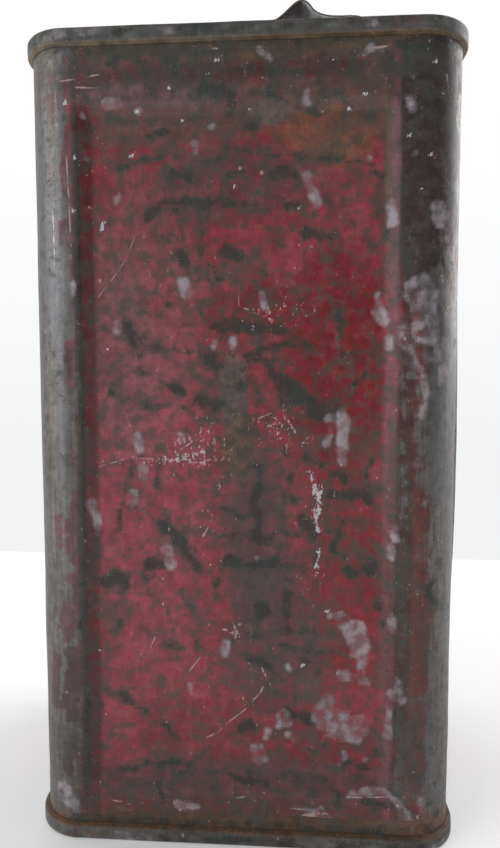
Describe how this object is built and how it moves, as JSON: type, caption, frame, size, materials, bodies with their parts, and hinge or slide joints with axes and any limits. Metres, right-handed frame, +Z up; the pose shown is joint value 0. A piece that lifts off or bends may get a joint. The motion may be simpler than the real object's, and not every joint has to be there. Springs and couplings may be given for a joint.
{
  "type": "oil can",
  "caption": "Tall rectangular tinplate oil can with pressed panels, seamed ends, a bent strap handle and a screw-capped corner filler, in worn red paint.",
  "frame": {"origin": "centre of the can's footprint, on the surface that it stands on", "axes": "+Z up, X along the broad faces, -Y out of the broad front face"},
  "size_m": [0.1558, 0.1218, 0.321],
  "materials": {
    "red_paint": "worn, stained semi-gloss paint over tinplate",
    "bare_tin": "dark, dull, lightly rusted bare tinplate",
    "cap_tin": "dull knurled tinplate",
    "solder": "dull grey solder",
    "sealing_compound": "matt",
    "cork": "matt cork",
    "waxed_paper": "waxed paper"
  },
  "bodies": {
    "can": {"body_sheet": "red_paint", "side_seam_solder": "solder", "top_end": "bare_tin", "bottom_end": "bare_tin", "top_seam_compound": "sealing_compound", "bottom_seam_compound": "sealing_compound", "filler_neck": "bare_tin", "neck_solder": "solder", "handle_strap": "red_paint", "handle_solder_left": "solder", "handle_solder_right": "solder", "handle_rivet_1": "solder", "handle_rivet_2": "solder", "handle_rivet_3": "solder", "handle_rivet_4": "solder"},
    "liner": {"cork_liner": "cork", "liner_facing": "waxed_paper"},
    "cap": {"screw_cap": "cap_tin"}
  },
  "joints": [
    {"name": "cap_lift", "type": "slide", "parent": "can", "child": "liner", "axis": [0, 0, 1], "range_m": [0, 0.012]},
    {"name": "cap_turn", "type": "hinge", "parent": "liner", "child": "cap", "pos_m": [-0.05, 0.034, 0.29], "axis": [0, 0, 1], "range_deg": [0, 1440]}
  ],
  "couplings": [
    {"joint": "cap_lift", "follows": "cap_turn", "m_per_rad": 0.00047746}
  ]
}
